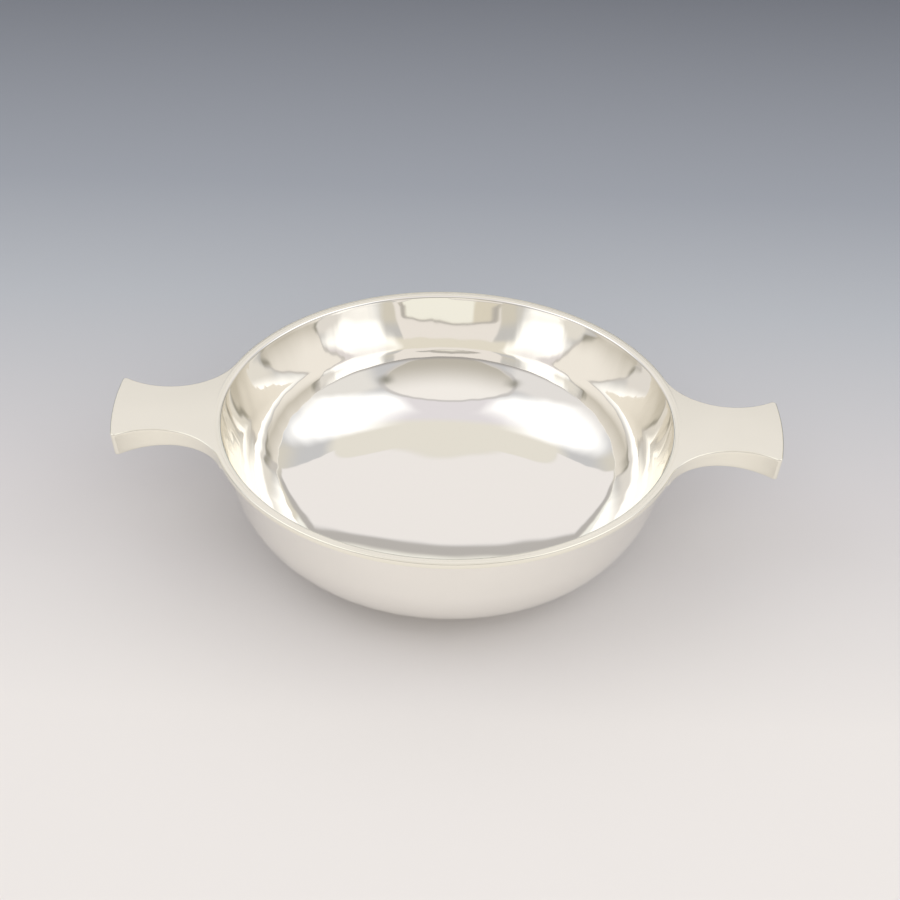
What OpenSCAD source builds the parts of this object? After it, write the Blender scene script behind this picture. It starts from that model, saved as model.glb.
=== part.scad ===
// Quaich: a shallow two-handled drinking bowl of polished silver, soldered up from sheet and wire.
// Millimetres. The origin is on the table under the bowl's axis, +X runs along the lugs, +Z is up.

/* [Bowl] */
// Inside diameter of the mouth, at the top edge
mouth_d = 100; // [80:1:130]
// Thickness of the bowl's sheet
bowl_sheet = 1.0; // [0.6:0.1:1.6]
// Lean of the straight wall, in degrees from upright
wall_lean = 14.5; // [8:0.5:22]
// Depth of the straight wall, from the top edge to where the turn starts
wall_depth = 12.4; // [9:0.2:16]
// Outside radius of the turn from wall to bottom
turn_r = 23; // [16:1:26]
// Outside radius of the shallow bottom
bottom_r = 160; // [110:5:240]

/* [Rim wire] */
// Width of the wire, outwards from the bowl's edge
wire_w = 1.0; // [0.6:0.1:2]
// Height of the wire
wire_h = 1.4; // [0.9:0.1:2.4]

/* [Lugs] */
// Length of a lug, from the wire to the middle of its tip
lug_length = 22; // [16:0.5:30]
// Distance of the waist from the wire
waist_out = 11.4; // [8:0.2:14]
// Width of a lug across its waist
waist_w = 16.8; // [12:0.4:24]
// How far the side curves bite into the wire's circle, so that no edge runs out to nothing
side_bite = 0.35; // [0.2:0.05:0.6]
// Thickness of the lug's sheet
lug_sheet = 0.9; // [0.5:0.1:1.2]
// Height of the hollow inside a lug, where it meets the wire
root_hollow = 1.1; // [0.8:0.1:2]
// Height of the hollow inside a lug, at the middle of its tip
tip_hollow = 4.2; // [2.5:0.1:7]

/* [Foot ring] */
// Diameter of the ring at the table
foot_d = 50; // [36:1:60]
// Thickness of the ring
foot_wall = 1.6; // [1:0.1:2.5]
// Splay of the ring, in degrees from upright
foot_splay = 10; // [0:1:20]
// Height of the bowl's lowest point over the table
foot_lift = 2.8; // [1.5:0.1:5]

/* [Hidden] */
$fn = 180;
silver = [0.87, 0.85, 0.80];
// Length by which a cutting shape runs past what it cuts
past = 2;
// How far the bowl's turn stands proud of its wall and bottom where they meet, so that they cross cleanly
lap = 0.002;

// Bowl's outside profile, with heights measured from the rim: wall, turn and bottom are tangent
bowl_r = mouth_d / 2 + bowl_sheet / cos(wall_lean);
turn_x = bowl_r - wall_depth * tan(wall_lean) - turn_r * cos(wall_lean);
turn_z = turn_r * sin(wall_lean) - wall_depth;
bottom_z = turn_z + sqrt((bottom_r - turn_r) ^ 2 - turn_x ^ 2);
turn_end = asin(turn_x / (bottom_r - turn_r));
rim_z = bottom_r - bottom_z + foot_lift;

// Lug's plan: its side curve just bites the wire's circle, and its root ends where the two cross
wire_r = bowl_r + wire_w;
tip_r = wire_r + lug_length;
side_x = wire_r + waist_out;
bitten_r = wire_r - side_bite;
side_r = (side_x ^ 2 + (waist_w / 2) ^ 2 - bitten_r ^ 2) / (2 * bitten_r - waist_w);
side_y = waist_w / 2 + side_r;
side_d = norm([side_x, side_y]);
chord_d = (side_d ^ 2 + wire_r ^ 2 - side_r ^ 2) / (2 * side_d);
crossing_y = (chord_d * side_y - sqrt(wire_r ^ 2 - chord_d ^ 2) * side_x) / side_d;
root_w = 2 * (crossing_y - side_bite);

// Lug's side view: the top is level with the rim, and the hollow under it is a wedge, open to the tip
base_slope = (tip_hollow - root_hollow) / lug_length;
base_sheet = lug_sheet * sqrt(1 + base_slope ^ 2);

hollow_x = wire_r - root_hollow / base_slope;
hollow_start = [hollow_x, rim_z - lug_sheet];
hollow_run = tip_r + past - hollow_x;
hollow_end = hollow_start + [hollow_run, -base_slope * hollow_run];
hollow_view = [hollow_start, hollow_end, hollow_start + [hollow_run, 0]];
base_drop = [0, base_sheet];
base_view = [hollow_start, hollow_start - base_drop, hollow_end - base_drop, hollow_end];

// Half section of the space inside the bowl's outside profile, shrunk all round by an inset
module bowl_section(inset, over_rim = 0) {
    turn = [turn_x, turn_z];
    to_bottom = [sin(turn_end), -cos(turn_end)];
    to_wall = [cos(wall_lean), -sin(wall_lean)];
    reach = 2 * turn_r;
    translate([0, rim_z]) {
        polygon([
            [0, turn_z], turn, turn + (turn_r - inset) * to_wall,
            [bowl_r - inset / cos(wall_lean) + over_rim * tan(wall_lean), over_rim], [0, over_rim]
        ]);
        translate(turn) intersection() {
            circle(turn_r - inset + lap);
            translate([0, -reach]) square(reach);
        }
        intersection() {
            translate([0, bottom_z]) circle(bottom_r - inset);
            polygon([[0, 0], turn, turn + reach * to_bottom, [0, turn_z - reach]]);
        }
    }
}

// What the lugs are fitted to: the bowl's outside with its rim wire
module bowl_and_wire() {
    rotate_extrude() bowl_section(0, past);
    translate([0, 0, rim_z - wire_h]) cylinder(h = wire_h + past, r = wire_r);
}

// Plan of the right lug, running on into the bowl
module lug_plan() {
    difference() {
        intersection() {
            circle(tip_r);
            translate([0, -root_w / 2]) square([tip_r, root_w]);
        }
        for (side = [-1, 1]) translate([side_x, side * side_y]) circle(side_r);
    }
}

// Plan of the strip along the right lug's front side
module front_strip() {
    intersection() {
        lug_plan();
        circle(tip_r - lug_sheet);
        translate([side_x, -side_y]) circle(side_r + lug_sheet);
    }
}

// Plan of the strip round the right lug's tip
module tip_strip() {
    difference() {
        lug_plan();
        circle(tip_r - lug_sheet);
    }
}

// Stands a plan up, keeps what lies in a side view of the lug, and fits it to the bowl and the wire
module fitted(side_view) {
    difference() {
        intersection() {
            linear_extrude(rim_z) children();
            rotate([90, 0, 0]) linear_extrude(root_w, center = true) polygon(side_view);
        }
        bowl_and_wire();
    }
}

module bowl() {
    color(silver) rotate_extrude() difference() {
        bowl_section(0);
        bowl_section(bowl_sheet, past);
    }
}

module rim_wire() {
    color(silver) translate([0, 0, rim_z]) rotate_extrude()
        polygon([[bowl_r, 0], [wire_r, 0], [wire_r, -wire_h], [bowl_r - wire_h * tan(wall_lean), -wire_h]]);
}

module foot_ring() {
    foot_r = foot_d / 2;
    ring_top = rim_z + turn_z;
    drawn_in = ring_top * tan(foot_splay);
    color(silver) rotate_extrude() difference() {
        polygon([
            [foot_r - foot_wall, 0], [foot_r, 0],
            [foot_r - drawn_in, ring_top], [foot_r - foot_wall - drawn_in, ring_top]
        ]);
        bowl_section(0);
    }
}

module lug_top() {
    color(silver) difference() {
        translate([0, 0, rim_z - lug_sheet]) linear_extrude(lug_sheet) lug_plan();
        bowl_and_wire();
    }
}

module lug_base() {
    color(silver) fitted(base_view) lug_plan();
}

module lug_front_wall() {
    color(silver) fitted(hollow_view) front_strip();
}

module lug_back_wall() {
    mirror([0, 1, 0]) lug_front_wall();
}

module lug_end_wall() {
    color(silver) fitted(hollow_view) tip_strip();
}

// Turns a piece of the right lug into the left lug's
module left() {
    mirror([1, 0, 0]) children();
}

bowl();
rim_wire();
foot_ring();
left() lug_top();  // left_lug_top
left() lug_base();  // left_lug_base
left() lug_front_wall();  // left_lug_front_wall
left() lug_back_wall();  // left_lug_back_wall
left() lug_end_wall();  // left_lug_end_wall
lug_top();  // right_lug_top
lug_base();  // right_lug_base
lug_front_wall();  // right_lug_front_wall
lug_back_wall();  // right_lug_back_wall
lug_end_wall();  // right_lug_end_wall
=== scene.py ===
"""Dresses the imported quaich: silver meshes for its pieces, a pale table, studio light and the camera."""
from math import acos, asin, atan2, cos, hypot, pi, radians, sin, sqrt, tan

import bmesh
import bpy
from mathutils import Matrix, Vector, noise


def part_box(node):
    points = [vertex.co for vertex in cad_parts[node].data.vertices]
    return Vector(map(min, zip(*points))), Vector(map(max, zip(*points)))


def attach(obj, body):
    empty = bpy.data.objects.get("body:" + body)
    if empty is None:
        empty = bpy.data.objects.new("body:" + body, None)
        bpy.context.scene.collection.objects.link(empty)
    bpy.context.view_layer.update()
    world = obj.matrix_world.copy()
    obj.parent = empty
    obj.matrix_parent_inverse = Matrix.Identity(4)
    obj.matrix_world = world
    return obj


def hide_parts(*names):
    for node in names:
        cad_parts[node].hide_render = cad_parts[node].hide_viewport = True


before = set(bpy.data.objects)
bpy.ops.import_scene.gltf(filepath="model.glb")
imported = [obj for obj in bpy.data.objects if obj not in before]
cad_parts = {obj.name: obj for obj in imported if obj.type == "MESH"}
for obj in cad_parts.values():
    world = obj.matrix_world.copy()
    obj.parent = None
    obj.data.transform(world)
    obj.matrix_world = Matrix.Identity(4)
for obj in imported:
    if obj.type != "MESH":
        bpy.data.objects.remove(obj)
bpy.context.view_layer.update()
MM = 0.001

# Sizes that the frame gives
rim_low, rim_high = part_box("rim_wire")
RIM_Z = rim_high.z
WIRE_R = rim_high.x
WIRE_H = rim_high.z - rim_low.z
BOWL_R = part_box("bowl")[1].x
TIP_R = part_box("right_lug_top")[1].x
FOOT_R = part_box("foot_ring")[1].x

# Sizes of the bowl and its foot, as the part has them
SHEET = 1.0 * MM
WALL_LEAN = radians(14.5)
WALL_DEPTH = 12.4 * MM
TURN_R = 23 * MM
BOTTOM_R = 160 * MM
FOOT_WALL = 1.6 * MM
FOOT_SPLAY = radians(10)

# Sizes of the lugs, as the part has them
WAIST_OUT = 11.4 * MM
WAIST_W = 16.8 * MM
LUG_SHEET = 0.9 * MM
ROOT_HOLLOW = 1.1 * MM
TIP_HOLLOW = 4.2 * MM

# Edges that the part leaves sharp and the finished piece has softened
LIP_ROUND = 0.6 * MM
SEAM_CHAMFER = 0.02 * MM
WIRE_ROUND = 0.35 * MM
ARRIS = 0.3 * MM
CORNER = 0.8 * MM
FOOT_ROUND = 0.4 * MM

# Lean of the lugs' ends, and how far a soldered piece runs into its neighbour and out along the wire
TIP_LEAN = radians(8)
EMBED = 0.3 * MM
RUN_OUT = radians(6)

# Height near which the foot ring meets the bowl
FOOT_REACH = 4.5 * MM

# Hand work: depth and length of the waves that hammer and polish leave on the wall and on the floor,
# how much longer the wall's waves are up and down, and the height in which all of them end at the rim
WALL_WAVES = ((0.08 * MM, 12 * MM), (0.05 * MM, 3.5 * MM))
FLOOR_WAVES = ((0.06 * MM, 20 * MM), (0.015 * MM, 7 * MM))
WAVE_STRETCH = 4
RIM_FADE = 1.5 * MM

# Fineness of the meshes, in points along each curve, and the angle from which an edge stays sharp
TURNS = 360
BOTTOM_STEPS = 36
TURN_STEPS = 72
WALL_STEPS = 24
FOOT_STEPS = 6
ROUND_STEPS = 6
SHORT_STEPS = 8
SIDE_STEPS = 120
ROOT_STEPS = 40
TIP_STEPS = 32
OUTER_FACE_STEPS = 110
INNER_FACE_STEPS = 80
END_SIDE_STEPS = 6
SHARP_FROM = radians(40)

# Silver: clouds in its polish, fine scratches in three directions, and how deep the lip's worn top goes,
# which also takes the worn silver's painted cream tint
CLOUD_SCALE = 90.0
CLOUD_DETAIL = 5.0
SCRATCH_TURNS = (0.4, 1.7, 2.6)
SCRATCH_SCALE = (60.0, 1400.0, 60.0)
SCRATCH_DETAIL = 2.0
SCRATCH_STRENGTH = 0.5
LIP_WORN_PAINTED_DEPTH = 0.1 * LIP_ROUND

# Table: pale in front, greyer and cooler towards the back, by distance in metres behind the bowl's axis
TABLE_SIZE = 6.0
TABLE_ROUGHNESS = 0.9
TABLE_SPECULAR = 0.1
TABLE_TONES = (
    (-0.30, (0.775, 0.75, 0.73)),
    (-0.06, (0.785, 0.76, 0.74)),
    (0.02, (0.64, 0.625, 0.635)),
    (0.10, (0.455, 0.478, 0.514)),
    (0.16, (0.325, 0.347, 0.39)),
    (0.30, (0.154, 0.166, 0.193)),
)

# Colours of what the silver mirrors
CEILING = (0.79, 0.76, 0.70)
FRONT_CEILING = (0.77, 0.74, 0.78)
WALLS = (0.58, 0.58, 0.60)
LEFT_WALL = (0.78, 0.76, 0.76)
RIGHT_WALL = (0.80, 0.78, 0.76)
LIGHT_BOX = (1.30, 1.30, 1.32)
PANEL = (0.86, 0.83, 0.83)
GREY_STRIP = (0.48, 0.46, 0.45)
TAN_STRIP = (0.73, 0.69, 0.61)
CREAM_STRIP = (0.93, 0.93, 0.89)
DARK_STRIP = (0.08, 0.08, 0.08)
TAN_BAR = (0.67, 0.64, 0.58)
OPENING_RING = (0.60, 0.58, 0.58)
OPENING = (0.91, 0.88, 0.86)
OPENING_LOW = (0.50, 0.47, 0.42)
FRONT_BAND = (0.36, 0.34, 0.33)
DARK_MARK = (0.32, 0.31, 0.28)

# Middle and half size of the oval opening in front, in degrees of round and elevation
OPENING_PLACE = (178.5, 35.5)
OPENING_HALF = (40.0, 27.5)

# Rise of a patch's lower edge that is out of sight, under the horizon at the back
UNDER_BACK = -100

# Studio: what the silver mirrors, in patches that each lie over the ones before. A patch has its colour and,
# for each measure, its lower edge, its upper edge and their softness. None leaves a side open. In degrees,
# azimuth turns from the back to the right, round is azimuth from 0 to 360, and rise turns from the back over
# the top to the front. Oval is the distance from the opening's middle, and is 1 on its edge.
PATCHES = (
    (FRONT_CEILING, {"rise": (91, None, 5)}),
    (WALLS, {"elevation": (None, 52, 4)}),
    (GREY_STRIP, {"rise": (UNDER_BACK, 34, 0.7)}),
    (TAN_STRIP, {"rise": (UNDER_BACK, 30.5, 1)}),
    (CREAM_STRIP, {"azimuth": (-45, 22, 2), "rise": (UNDER_BACK, 30.5, 1)}),
    (DARK_STRIP, {"rise": (UNDER_BACK, 15, 2)}),
    (TAN_BAR, {"azimuth": (-68, -50, 5), "elevation": (None, 30, 10)}),
    (TAN_BAR, {"azimuth": (47, 66, 5), "elevation": (None, 30, 10)}),
    (LEFT_WALL, {"azimuth": (-148, -80, 5), "elevation": (None, 36, 5)}),
    (RIGHT_WALL, {"azimuth": (90, 136, 5), "elevation": (None, 36, 5)}),
    (LIGHT_BOX, {"azimuth": (-143, -71, 8), "elevation": (22, 66, 12), "rise": (UNDER_BACK, 127, 8)}),
    (LIGHT_BOX, {"azimuth": (72, 140, 8), "elevation": (18, 67, 12), "rise": (UNDER_BACK, 126, 8)}),
    (PANEL, {"azimuth": (-57, 50, 1), "rise": (34, None, 0.7), "elevation": (None, 54.5, 0.7)}),
    (OPENING_RING, {"oval": (None, 1.05, 0.03)}),
    (OPENING, {"oval": (None, 0.97, 0.03)}),
    (OPENING_LOW, {"oval": (None, 0.97, 0.03), "elevation": (None, 32, 18)}),
    (FRONT_BAND, {"round": (100, 260, 10), "elevation": (None, 11, 2)}),
    (DARK_MARK, {"round": (138, 145, 4), "elevation": (24, 33, 4)}),
    (DARK_MARK, {"round": (214, 220, 4), "elevation": (24, 33, 4)}),
)

# Fill light over the camera, in metres
FILL_SIZE = (1.8, 1.2)
FILL_PLACE = (0.3, -1.3, 1.0)
FILL_RADIANCE = 1.7

# Camera: where it stands is measured about the middle of the rim
CAMERA_ELEVATION = radians(35.20)
CAMERA_AZIMUTH = radians(0.97)
CAMERA_DISTANCE = 582.4 * MM
CAMERA_PITCH = radians(-0.694)
CAMERA_YAW = radians(-0.072)
CAMERA_ROLL = radians(1.597)
CAMERA_LENS = 105.5
CAMERA_SENSOR = 36.0
CAMERA_CLIP = 10 * MM

# How often light may bounce between the bowl's walls
BOUNCES = 16

# The bowl's outside profile: a leaning wall, a round turn and a shallow bottom, all tangent
turn_x = BOWL_R - WALL_DEPTH * tan(WALL_LEAN) - TURN_R * cos(WALL_LEAN)
turn_z = RIM_Z - WALL_DEPTH + TURN_R * sin(WALL_LEAN)
bottom_z = turn_z + sqrt((BOTTOM_R - TURN_R) ** 2 - turn_x ** 2)
turn_end = asin(turn_x / (BOTTOM_R - TURN_R))

# The lug's plan: side curves that leave the wire's circle on a tangent
side_x = WIRE_R + WAIST_OUT
half_waist = WAIST_W / 2
side_r = (side_x ** 2 + half_waist ** 2 - WIRE_R ** 2) / (2 * (WIRE_R - half_waist))
side_y = half_waist + side_r
side_d = hypot(side_x, side_y)
root_angle = atan2(side_y, side_x)
side_start = root_angle - pi

# The lug's side view: a wedge of hollow under a level top
base_slope = (TIP_HOLLOW - ROOT_HOLLOW) / (TIP_R - WIRE_R)
base_sheet = LUG_SHEET * sqrt(1 + base_slope ** 2)
root_r = BOWL_R - (LUG_SHEET + ROOT_HOLLOW) * tan(WALL_LEAN) - EMBED


def steps(first, last, count):
    """Evenly spaced values from first to last, both included."""
    return [first + (last - first) * i / (count - 1) for i in range(count)]


def polar(radius, angle):
    """A point by its distance and angle from the origin."""
    return (radius * cos(angle), radius * sin(angle))


def arc(centre, radius, first, last, count):
    """Points on an arc, by angle from the first axis."""
    return [(centre[0] + radius * cos(a), centre[1] + radius * sin(a)) for a in steps(first, last, count)]


def new_piece(name, bm):
    """Makes an object of a closed bmesh, smooth except at its sharp edges."""
    bmesh.ops.recalc_face_normals(bm, faces=bm.faces)
    mesh = bpy.data.meshes.new(name)
    bm.to_mesh(mesh)
    bm.free()
    mesh.polygons.foreach_set("use_smooth", [True] * len(mesh.polygons))
    mesh.set_sharp_from_angle(angle=SHARP_FROM)
    piece = bpy.data.objects.new(name, mesh)
    bpy.context.scene.collection.objects.link(piece)
    return piece


def keep_flat(piece):
    """Keeps a piece's flat faces flat where they meet rounded edges."""
    piece.modifiers.new("flat faces stay flat", "WEIGHTED_NORMAL").keep_sharp = True
    return piece


def lathe(name, profile, closed, shift=None):
    """Turns a profile of (radius, height) points about Z. shift moves a point a little along its normal."""
    bm = bmesh.new()
    rings = []
    last = len(profile) - 1
    for i, (r, z) in enumerate(profile):
        if r == 0:
            rings.append([bm.verts.new((0, 0, z))])
            continue
        before = profile[i - 1] if i or closed else profile[i]
        after = profile[(i + 1) % (last + 1)] if i < last or closed else profile[i]
        along = Vector((after[0] - before[0], after[1] - before[1])).normalized()
        ring = []
        for k in range(TURNS):
            a = 2 * pi * k / TURNS
            move = shift(r, z, a) if shift else 0.0
            ring.append(bm.verts.new((*polar(r - along.y * move, a), z + along.x * move)))
        rings.append(ring)
    pairs = list(zip(rings, rings[1:])) + ([(rings[-1], rings[0])] if closed else [])
    for low, high in pairs:
        for k in range(TURNS):
            n = (k + 1) % TURNS
            if len(low) == 1:
                bm.faces.new((low[0], high[n], high[k]))
            elif len(high) == 1:
                bm.faces.new((low[k], low[n], high[0]))
            else:
                bm.faces.new((low[k], low[n], high[n], high[k]))
    return new_piece(name, bm)


def bowl_curve(inset):
    """The bowl's profile from the axis out and up to the wall's straight stretch, shrunk by an inset."""
    bottom = arc((0, bottom_z), BOTTOM_R - inset, -pi / 2, turn_end - pi / 2, BOTTOM_STEPS)
    turn = arc((turn_x, turn_z), TURN_R - inset, turn_end - pi / 2, -WALL_LEAN, TURN_STEPS)
    bottom[0] = (0.0, bottom[0][1])
    return bottom + turn[1:]


def wall_radius(z, inset):
    """Radius of the leaning wall at a height."""
    return BOWL_R - inset / cos(WALL_LEAN) - (RIM_Z - z) * tan(WALL_LEAN)


def hand_work(r, z, a):
    """How far the bowl's surface lies off its true curve."""
    wallness = min(1.0, max(0.0, (r - turn_x) / (BOWL_R - turn_x))) ** 2
    on_wall = Vector((*polar(BOWL_R, a), z / WAVE_STRETCH))
    on_floor = Vector((*polar(r, a), z))
    wall = sum(depth * noise.noise(on_wall / length) for depth, length in WALL_WAVES)
    floor = sum(depth * noise.noise(on_floor / length) for depth, length in FLOOR_WAVES)
    return min(1.0, (RIM_Z - z) / RIM_FADE) * (wall * wallness + floor * (1 - wallness))


def make_bowl(name):
    inside = bowl_curve(SHEET)
    outside = bowl_curve(0.0)
    wall_top = RIM_Z - LIP_ROUND
    inside += [(wall_radius(z, SHEET), z) for z in steps(inside[-1][1], wall_top, WALL_STEPS)[1:]]
    lip_r = inside[-1][0] + LIP_ROUND
    lip = arc((lip_r, wall_top), LIP_ROUND, pi, pi / 2, ROUND_STEPS)[1:]
    seam_z = RIM_Z - SEAM_CHAMFER
    seam = [(BOWL_R - SEAM_CHAMFER, RIM_Z), (wall_radius(seam_z, 0), seam_z)]
    down = [(wall_radius(z, 0), z) for z in steps(seam_z, outside[-1][1], WALL_STEPS)[1:-1]]
    return keep_flat(lathe(name, inside + lip + seam + down + outside[::-1], False, hand_work))


def make_rim_wire(name):
    low = RIM_Z - WIRE_H
    seam_z = RIM_Z - SEAM_CHAMFER
    core_r = WIRE_R - WIRE_ROUND
    outer = arc((core_r, RIM_Z - WIRE_ROUND), WIRE_ROUND, pi / 2, 0, ROUND_STEPS)
    under = arc((core_r, low + WIRE_ROUND), WIRE_ROUND, 0, -pi / 2, ROUND_STEPS)
    inner = [(wall_radius(low, 0), low), (wall_radius(seam_z, 0), seam_z), (BOWL_R + SEAM_CHAMFER, RIM_Z)]
    return keep_flat(lathe(name, outer + under + inner, True))


def foot_radius(z, inset):
    """Radius of the splayed foot ring at a height, drawn in by an inset."""
    return FOOT_R - inset - z * tan(FOOT_SPLAY)


def foot_top(inset):
    """Height at which a side of the foot ring ends, a little way inside the bowl's bottom."""
    return bottom_z - sqrt(BOTTOM_R ** 2 - foot_radius(FOOT_REACH, inset) ** 2) + EMBED


def make_foot_ring(name):
    outer_r = FOOT_R - FOOT_ROUND
    inner_r = FOOT_R - FOOT_WALL + FOOT_ROUND
    side_low = 2 * FOOT_ROUND
    profile = [(inner_r, 0), (outer_r, 0)]
    profile += arc((outer_r, FOOT_ROUND), FOOT_ROUND, -pi / 2, 0, ROUND_STEPS)[1:]
    profile += [(foot_radius(z, 0), z) for z in steps(side_low, foot_top(0), FOOT_STEPS)]
    profile += [(foot_radius(z, FOOT_WALL), z) for z in steps(foot_top(FOOT_WALL), side_low, FOOT_STEPS)]
    profile += arc((inner_r, FOOT_ROUND), FOOT_ROUND, pi, 1.5 * pi, ROUND_STEPS)[:-1]
    return lathe(name, profile, True)


def side_arc(inset, first, last, count):
    """Points along the lug's back side curve, between angles about the curve's own centre."""
    return arc((side_x, side_y), side_r + inset, first, last, count)


def tip_at(z):
    """Radius of the lug's tip at a height: under its rounded top edge the end leans in."""
    return TIP_R - max(0.0, RIM_Z - ARRIS - z) * tan(TIP_LEAN)


def tip_corner(tip):
    """Centre of the tip's back corner round, and its angles on the tip's arc and on the side curve."""
    centre_d = tip - CORNER
    to_side = side_r + CORNER
    turn = acos((centre_d ** 2 + side_d ** 2 - to_side ** 2) / (2 * centre_d * side_d))
    centre = polar(centre_d, root_angle - turn)
    return centre, root_angle - turn, atan2(centre[1] - side_y, centre[0] - side_x)


def tip_outline(inset, tip, side_first, side_count):
    """Points from an angle on the back side curve round the tip to the same place on the front."""
    corner, corner_angle, side_stop = tip_corner(tip)
    back = side_arc(inset, side_first, side_stop, side_count)
    back += arc(corner, CORNER - inset, side_stop + pi, corner_angle, SHORT_STEPS)[1:]
    end = [polar(tip - inset, a) for a in steps(corner_angle, -corner_angle, TIP_STEPS)[1:-1]]
    return back + end + [(x, -y) for x, y in reversed(back)]


def lug_outline(inset, root, tip, half_root=root_angle):
    """Closed plan of the right lug. Its root, an arc of a radius and a half angle, isn't inset."""
    foot = [polar(root, a) for a in steps(-half_root, half_root, ROOT_STEPS)]
    return tip_outline(inset, tip, side_start, SIDE_STEPS) + foot


def hollow_floor(x):
    """Height of the base plate's upper face."""
    return RIM_Z - LUG_SHEET - ROOT_HOLLOW - base_slope * (x - WIRE_R)


def at_height(plan, height):
    """A plan's points at a height, which may be a function of x."""
    return [(x, y, height(x) if callable(height) else height) for x, y in plan]


def stack(name, loops, hand):
    """Closes a stack of loops of 3-D points into a solid. hand is 1 for the right lug and -1 for the left."""
    bm = bmesh.new()
    rings = [[bm.verts.new((hand * x, y, z)) for x, y, z in loop] for loop in loops]
    count = len(rings[0])
    for low, high in zip(rings, rings[1:]):
        for k in range(count):
            n = (k + 1) % count
            bm.faces.new((low[k], low[n], high[n], high[k]))
    bm.faces.new(rings[0])
    bm.faces.new(rings[-1])
    return keep_flat(new_piece(name, bm))


def make_lug_top(name, hand):
    root = WIRE_R - WIRE_ROUND
    low = RIM_Z - LUG_SHEET
    loops = [at_height(lug_outline(0, root, tip_at(low)), low)]
    for a in steps(0, pi / 2, ROUND_STEPS):
        plan = lug_outline(ARRIS * (1 - cos(a)), root, TIP_R)
        loops.append(at_height(plan, RIM_Z - ARRIS * (1 - sin(a))))
    return stack(name, loops, hand)


def make_lug_base(name, hand):
    tip_z = hollow_floor(TIP_R)
    half_root = root_angle + RUN_OUT
    loops = [at_height(lug_outline(0, root_r, tip_at(tip_z), half_root), hollow_floor)]
    for a in steps(0, pi / 2, ROUND_STEPS):
        drop = base_sheet - ARRIS * (1 - sin(a))
        plan = lug_outline(ARRIS * (1 - cos(a)), root_r, tip_at(tip_z - drop), half_root)
        loops.append(at_height(plan, lambda x: hollow_floor(x) - drop))
    return stack(name, loops, hand)


def wall_stop(inset, radius):
    """Angle on the side curve where it reaches a distance from the bowl's axis."""
    r = side_r + inset
    return side_start + 2 * asin(sqrt((radius ** 2 - (side_d - r) ** 2) / (4 * side_d * r)))


def back_plan(tip):
    """Plan of the back wall, which ends at the end wall of a tip's radius."""
    end_r = tip - LUG_SHEET
    outer = side_arc(0, side_start, wall_stop(0, end_r), OUTER_FACE_STEPS)
    inner_start = wall_stop(LUG_SHEET, WIRE_R)
    inner = side_arc(LUG_SHEET, inner_start, wall_stop(LUG_SHEET, end_r), INNER_FACE_STEPS)
    inner_root = atan2(inner[0][1], inner[0][0])
    foot = [polar(root_r, a) for a in steps(inner_root, root_angle + RUN_OUT, SHORT_STEPS)]
    return outer + inner[::-1] + foot


def front_plan(tip):
    """Plan of the front wall, the back wall's mirror image."""
    return [(x, -y) for x, y in back_plan(tip)]


def end_plan(tip):
    """Plan of the end wall for a tip's radius."""
    end_r = tip - LUG_SHEET
    outer = tip_outline(0, tip, wall_stop(0, end_r), END_SIDE_STEPS)
    half = atan2(outer[0][1], outer[0][0])
    return outer + [polar(end_r, a) for a in steps(-half, half, TIP_STEPS)[1:-1]]


def make_lug_wall(name, hand, plan):
    """A wall between the lug's top and its base. plan is a function of the tip's radius."""
    top = RIM_Z - LUG_SHEET
    upper = at_height(plan(tip_at(top)), top)
    lower = at_height(plan(tip_at(hollow_floor(TIP_R))), hollow_floor)
    return stack(name, [upper, lower], hand)


def rgba(colour):
    """A colour as the sockets take it."""
    return (*colour, 1.0)


def node_of(tree, kind, **inputs):
    """Adds a shader node and sets its unlinked inputs."""
    made = tree.nodes.new(kind)
    for key, value in inputs.items():
        made.inputs[key.replace("_", " ")].default_value = value
    return made


def silver(name, colour, roughness, spread, scratch):
    """Polished silver: roughness varies by spread, and scratch is the depth of its fine wear in metres."""
    material = bpy.data.materials.new(name)
    material.use_nodes = True
    tree = material.node_tree
    shader = tree.nodes["Principled BSDF"]
    shader.inputs["Base Color"].default_value = rgba(colour)
    shader.inputs["Metallic"].default_value = 1.0
    place = tree.nodes.new("ShaderNodeTexCoord")
    cloud = node_of(tree, "ShaderNodeTexNoise", Scale=CLOUD_SCALE, Detail=CLOUD_DETAIL)
    tree.links.new(place.outputs["Object"], cloud.inputs["Vector"])
    span = node_of(tree, "ShaderNodeMapRange", To_Min=roughness - spread, To_Max=roughness + spread)
    tree.links.new(cloud.outputs["Fac"], span.inputs["Value"])
    tree.links.new(span.outputs["Result"], shader.inputs["Roughness"])
    bump_before = None
    for turn in SCRATCH_TURNS:
        stretch = node_of(tree, "ShaderNodeMapping", Rotation=(0.0, 0.0, turn), Scale=SCRATCH_SCALE)
        tree.links.new(place.outputs["Object"], stretch.inputs["Vector"])
        lines = node_of(tree, "ShaderNodeTexNoise", Scale=1.0, Detail=SCRATCH_DETAIL)
        tree.links.new(stretch.outputs["Vector"], lines.inputs["Vector"])
        bump = node_of(tree, "ShaderNodeBump", Strength=SCRATCH_STRENGTH, Distance=scratch)
        tree.links.new(lines.outputs["Fac"], bump.inputs["Height"])
        if bump_before:
            tree.links.new(bump_before.outputs["Normal"], bump.inputs["Normal"])
        bump_before = bump
    tree.links.new(bump_before.outputs["Normal"], shader.inputs["Normal"])
    return material


def mirror_silver():
    return silver("mirror_silver", (0.97, 0.95, 0.90), roughness=0.035, spread=0.01, scratch=0.0004 * MM)


# Silver for the wire, the lugs and the lip's top: its roughness and scratches are real wear, and its tint,
# yellower than the bowl's, is a painted cream reflection.
def worn_silver_painted_cream():
    return silver("worn_silver_painted_cream", (0.97, 0.945, 0.84), roughness=0.10, spread=0.03, scratch=0.001 * MM)


def dress(node, material, make, *sizes):
    """Makes the piece that stands for a node, and gives it its material."""
    piece = make(node, *sizes)
    piece.data.materials.append(material)
    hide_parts(node)
    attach(piece, "root")
    return piece


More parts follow.
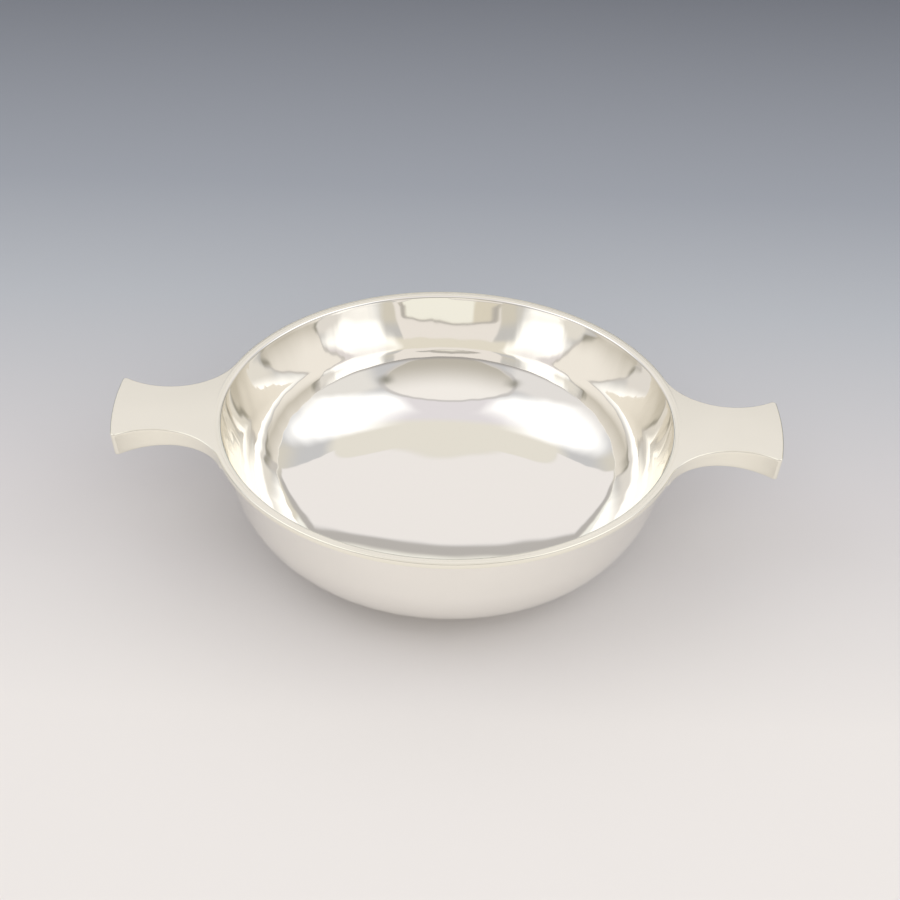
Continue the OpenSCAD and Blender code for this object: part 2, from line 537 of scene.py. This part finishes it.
def wear_and_paint_lip(bowl, material):
    """Gives the lip's level top the polish of the wire beside it, and with it the wire's yellower tint, a
    painted cream reflection.
    """
    bowl.data.materials.append(material)
    for face in bowl.data.polygons:
        if face.center.z > RIM_Z - LIP_WORN_PAINTED_DEPTH:
            face.material_index = 1


def make_quaich():
    mirror = mirror_silver()
    worn_painted_cream = worn_silver_painted_cream()
    bowl = dress("bowl", mirror, make_bowl)
    wear_and_paint_lip(bowl, worn_painted_cream)
    dress("rim_wire", worn_painted_cream, make_rim_wire)
    dress("foot_ring", mirror, make_foot_ring)
    for hand, lug in ((1, "right_lug"), (-1, "left_lug")):
        dress(f"{lug}_top", worn_painted_cream, make_lug_top, hand)
        dress(f"{lug}_base", worn_painted_cream, make_lug_base, hand)
        dress(f"{lug}_front_wall", worn_painted_cream, make_lug_wall, hand, front_plan)
        dress(f"{lug}_back_wall", worn_painted_cream, make_lug_wall, hand, back_plan)
        dress(f"{lug}_end_wall", worn_painted_cream, make_lug_wall, hand, end_plan)


def table_paper():
    """The table's matt paper, with its tones from front to back."""
    material = bpy.data.materials.new("table_paper")
    material.use_nodes = True
    tree = material.node_tree
    shader = tree.nodes["Principled BSDF"]
    shader.inputs["Roughness"].default_value = TABLE_ROUGHNESS
    shader.inputs["Specular IOR Level"].default_value = TABLE_SPECULAR
    place = tree.nodes.new("ShaderNodeTexCoord")
    parts = tree.nodes.new("ShaderNodeSeparateXYZ")
    tree.links.new(place.outputs["Object"], parts.inputs["Vector"])
    front, back = TABLE_TONES[0][0], TABLE_TONES[-1][0]
    span = node_of(tree, "ShaderNodeMapRange", From_Min=front, From_Max=back)
    tree.links.new(parts.outputs["Y"], span.inputs["Value"])
    ramp = tree.nodes.new("ShaderNodeValToRGB")
    stops = ramp.color_ramp.elements
    stops[0].color = rgba(TABLE_TONES[0][1])
    stops[1].color = rgba(TABLE_TONES[-1][1])
    for behind, tone in TABLE_TONES[1:-1]:
        stops.new((behind - front) / (back - front)).color = rgba(tone)
    tree.links.new(span.outputs["Result"], ramp.inputs["Fac"])
    tree.links.new(ramp.outputs["Color"], shader.inputs["Base Color"])
    return material


def make_table():
    bm = bmesh.new()
    bmesh.ops.create_grid(bm, x_segments=1, y_segments=1, size=TABLE_SIZE / 2)
    mesh = bpy.data.meshes.new("table")
    bm.to_mesh(mesh)
    bm.free()
    mesh.materials.append(table_paper())
    table = bpy.data.objects.new("table", mesh)
    bpy.context.scene.collection.objects.link(table)


def math_node(tree, kind, *values):
    """Adds a math node for numbers or other nodes' outputs, and returns its own output."""
    made = tree.nodes.new("ShaderNodeMath")
    made.operation = kind
    for socket, value in zip(made.inputs, values):
        if isinstance(value, (int, float)):
            socket.default_value = value
        else:
            tree.links.new(value, socket)
    return made.outputs[0]


def soft_edge(tree, value, middle, softness):
    """0 before an edge and 1 after it, or the other way round for a negative softness."""
    made = node_of(tree, "ShaderNodeMapRange", From_Min=middle - softness, From_Max=middle + softness)
    made.interpolation_type = "SMOOTHSTEP"
    tree.links.new(value, made.inputs["Value"])
    return made.outputs["Result"]


def studio_measures(tree):
    """The measures that the patches' edges are given in."""
    place = tree.nodes.new("ShaderNodeTexCoord")
    parts = tree.nodes.new("ShaderNodeSeparateXYZ")
    tree.links.new(place.outputs["Generated"], parts.inputs["Vector"])
    x, y, z = parts.outputs
    azimuth = math_node(tree, "DEGREES", math_node(tree, "ARCTAN2", x, y))
    measures = {
        "azimuth": azimuth,
        "round": math_node(tree, "MODULO", math_node(tree, "ADD", azimuth, 360.0), 360.0),
        "elevation": math_node(tree, "DEGREES", math_node(tree, "ARCSINE", z)),
        "rise": math_node(tree, "DEGREES", math_node(tree, "ARCTAN2", z, y)),
    }
    squares = []
    for measure, middle, half in zip(("round", "elevation"), OPENING_PLACE, OPENING_HALF):
        away = math_node(tree, "DIVIDE", math_node(tree, "SUBTRACT", measures[measure], middle), half)
        squares.append(math_node(tree, "MULTIPLY", away, away))
    measures["oval"] = math_node(tree, "SQRT", math_node(tree, "ADD", *squares))
    return measures


def patch_mask(tree, measures, limits):
    """1 inside a patch's edges and 0 outside them."""
    mask = 1.0
    for measure, (first, last, softness) in limits.items():
        for middle, signed_softness in ((first, softness), (last, -softness)):
            if middle is not None:
                inside = soft_edge(tree, measures[measure], middle, signed_softness)
                mask = math_node(tree, "MULTIPLY", mask, inside)
    return mask


def make_studio():
    world = bpy.data.worlds.new("studio")
    bpy.context.scene.world = world
    world.use_nodes = True
    tree = world.node_tree
    measures = studio_measures(tree)
    under = None
    for colour, limits in PATCHES:
        mix = tree.nodes.new("ShaderNodeMix")
        mix.data_type = "RGBA"
        tree.links.new(patch_mask(tree, measures, limits), mix.inputs["Factor"])
        if under:
            tree.links.new(under, mix.inputs["A"])
        else:
            mix.inputs["A"].default_value = rgba(CEILING)
        mix.inputs["B"].default_value = rgba(colour)
        under = mix.outputs["Result"]
    tree.links.new(under, tree.nodes["Background"].inputs["Color"])


def make_fill_light():
    """A wide soft lamp above the camera that lights the table and doesn't show in the silver."""
    light = bpy.data.lights.new("front_fill", "AREA")
    light.shape = "RECTANGLE"
    light.size, light.size_y = FILL_SIZE
    light.energy = FILL_RADIANCE * pi * FILL_SIZE[0] * FILL_SIZE[1]
    lamp = bpy.data.objects.new("front_fill", light)
    lamp.location = FILL_PLACE
    lamp.rotation_euler = Vector(FILL_PLACE).to_track_quat("Z", "Y").to_euler()
    lamp.visible_camera = False
    lamp.visible_glossy = False
    bpy.context.scene.collection.objects.link(lamp)


def make_camera():
    data = bpy.data.cameras.new("camera")
    data.lens = CAMERA_LENS
    data.sensor_width = CAMERA_SENSOR
    data.clip_start = CAMERA_CLIP
    camera = bpy.data.objects.new("camera", data)
    stand = Matrix.Rotation(CAMERA_AZIMUTH, 4, "Z") @ Matrix.Rotation(pi / 2 - CAMERA_ELEVATION, 4, "X")
    aim = Matrix.Rotation(CAMERA_YAW, 4, "Y") @ Matrix.Rotation(CAMERA_PITCH, 4, "X")
    roll = Matrix.Rotation(CAMERA_ROLL, 4, "Z")
    away = Matrix.Translation((0, 0, CAMERA_DISTANCE))
    camera.matrix_world = Matrix.Translation((0, 0, RIM_Z)) @ stand @ away @ aim @ roll
    bpy.context.scene.collection.objects.link(camera)
    bpy.context.scene.camera = camera


make_quaich()
make_table()
make_studio()
make_fill_light()
make_camera()
bpy.context.scene.view_settings.view_transform = "Standard"
bpy.context.scene.cycles.max_bounces = BOUNCES
bpy.context.scene.cycles.glossy_bounces = BOUNCES
